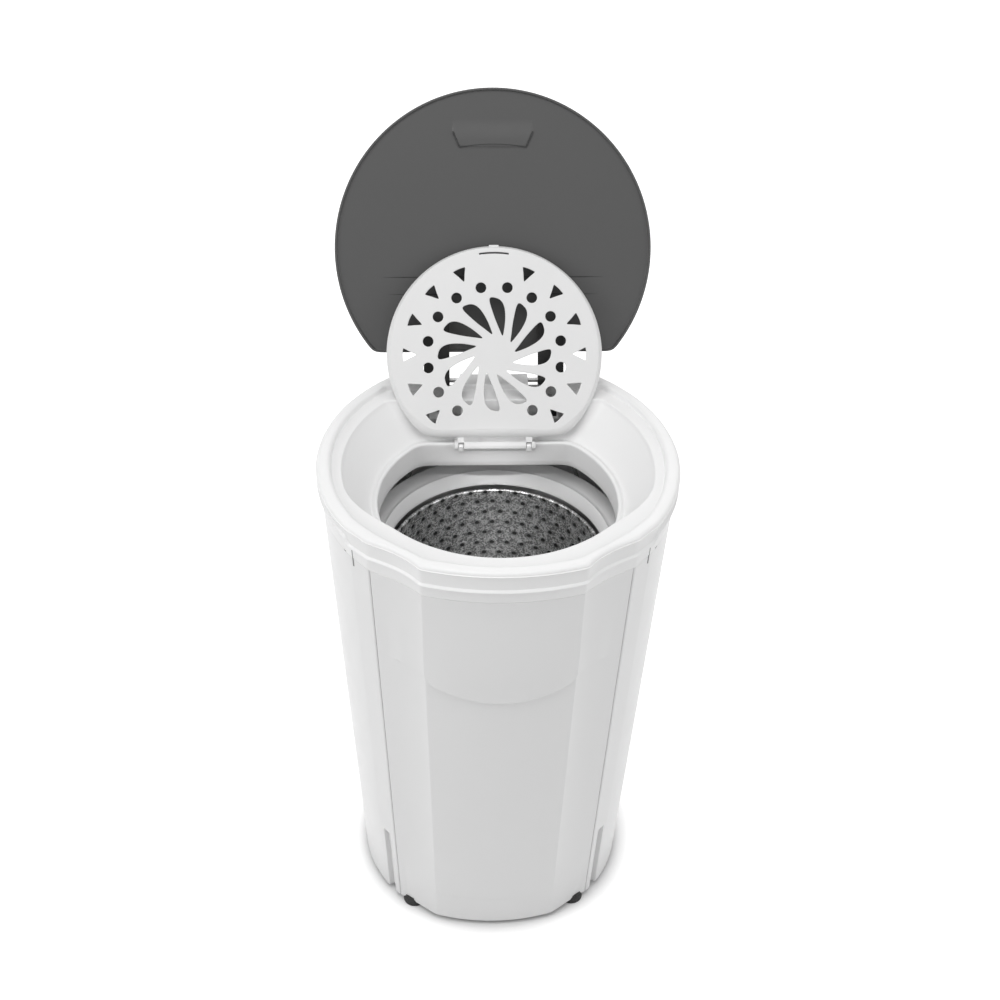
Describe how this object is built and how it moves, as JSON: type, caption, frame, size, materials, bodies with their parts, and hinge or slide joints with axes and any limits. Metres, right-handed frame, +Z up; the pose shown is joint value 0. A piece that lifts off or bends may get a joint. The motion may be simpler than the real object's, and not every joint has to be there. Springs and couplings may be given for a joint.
{
  "type": "laundry spin dryer",
  "caption": "Top-loading laundry spin dryer with a tapered cabinet, hinged outer and inner lids, steel drum, sprung drive and lid-linked brake.",
  "frame": {"origin": "on the floor under the drum's axis", "axes": "+Z up, -Y towards the front, +X to the right seen from the front"},
  "size_m": [0.43, 0.5602, 0.9593],
  "materials": {
    "cabinet_paint": "semi-gloss",
    "white_plastic": "semi-gloss",
    "tub_plastic": "satin",
    "dark_plastic": "satin",
    "black_plastic": "satin",
    "grey_plastic": "satin",
    "black_rubber": "matte",
    "zinc_steel": "satin",
    "pan_steel": "satin",
    "cast_alloy": "cast",
    "core_steel": "satin",
    "drum_steel": "polished",
    "brake_lining": "matte"
  },
  "bodies": {
    "root": {"rear_shell": "cabinet_paint", "front_panel": "cabinet_paint", "top_panel": "white_plastic", "base_pan": "pan_steel", "rubber_feet": "black_rubber", "foot_screws": "zinc_steel", "side_screws": "zinc_steel", "outer_tub": "tub_plastic", "tub_cover": "tub_plastic", "tub_legs": "pan_steel", "drain_outlet": "grey_plastic", "mains_gland": "black_plastic", "terminal_box": "black_plastic", "wiring_lead": "black_plastic", "capacitor": "grey_plastic", "capacitor_cup": "pan_steel", "hinge_rod": "zinc_steel", "inner_hinge_pins": "zinc_steel", "safety_switch": "black_plastic", "brake_cable": "black_plastic", "tub_seal": "black_rubber", "rubber_mounts": "black_rubber"},
    "lid": {"outer_lid": "dark_plastic", "lid_arms": "dark_plastic", "lid_arm_screws": "zinc_steel"},
    "inner_lid": {"inner_lid": "white_plastic", "inner_lid_latch": "white_plastic"},
    "motor_unit": {"motor_bracket": "pan_steel", "motor_housing": "cast_alloy", "motor_cover": "cast_alloy", "stator": "core_steel", "lower_bearing": "zinc_steel", "upper_bearing": "zinc_steel", "bracket_screws": "zinc_steel", "brake_pivot_pin": "zinc_steel"},
    "drum": {"drum_basket": "drum_steel", "drum_base": "drum_steel", "drum_hub": "cast_alloy", "drum_shaft": "zinc_steel", "rotor": "core_steel", "motor_fan": "black_plastic", "hub_nut": "zinc_steel", "hub_cap": "white_plastic", "brake_drum": "pan_steel"},
    "brake_lever": {"brake_lever": "pan_steel", "brake_pad": "brake_lining"},
    "switch_plunger": {"switch_plunger": "black_plastic"}
  },
  "joints": [
    {"name": "lid_hinge", "type": "hinge", "parent": "root", "child": "lid", "pos_m": [0, 0.16808, 0.652], "axis": [1, 0, 0], "range_deg": [0, 121]},
    {"name": "inner_lid_hinge", "type": "hinge", "parent": "root", "child": "inner_lid", "pos_m": [0, 0.095, 0.603], "axis": [1, 0, 0], "range_deg": [0, 126.34]},
    {"name": "switch_plunger_slide", "type": "slide", "parent": "root", "child": "switch_plunger", "axis": [0, 0, -1], "range_m": [0, 0.003]},
    {"name": "drive_float", "type": "slide", "parent": "root", "child": "motor_unit", "axis": [0, 0, 1], "range_m": [-0.0025, 0.0025], "stiffness_N_per_m": 30000, "springref_m": 0.00286, "deforming": ["rubber_mounts", "tub_seal"]},
    {"name": "drum_spin", "type": "hinge", "parent": "motor_unit", "child": "drum", "pos_m": [0, 0, 0.2], "axis": [0, 0, 1], "continuous": true},
    {"name": "brake_lever_pivot", "type": "hinge", "parent": "motor_unit", "child": "brake_lever", "pos_m": [-0.052, -0.008, 0.049], "axis": [0, 0, 1], "range_deg": [0, 8]}
  ],
  "couplings": [
    {"joint": "inner_lid_hinge", "follows": "lid_hinge", "ratio": 1.0441},
    {"joint": "switch_plunger_slide", "follows": "lid_hinge", "m_per_rad": 0.0014205},
    {"joint": "brake_lever_pivot", "follows": "lid_hinge", "ratio": 0.06611}
  ]
}
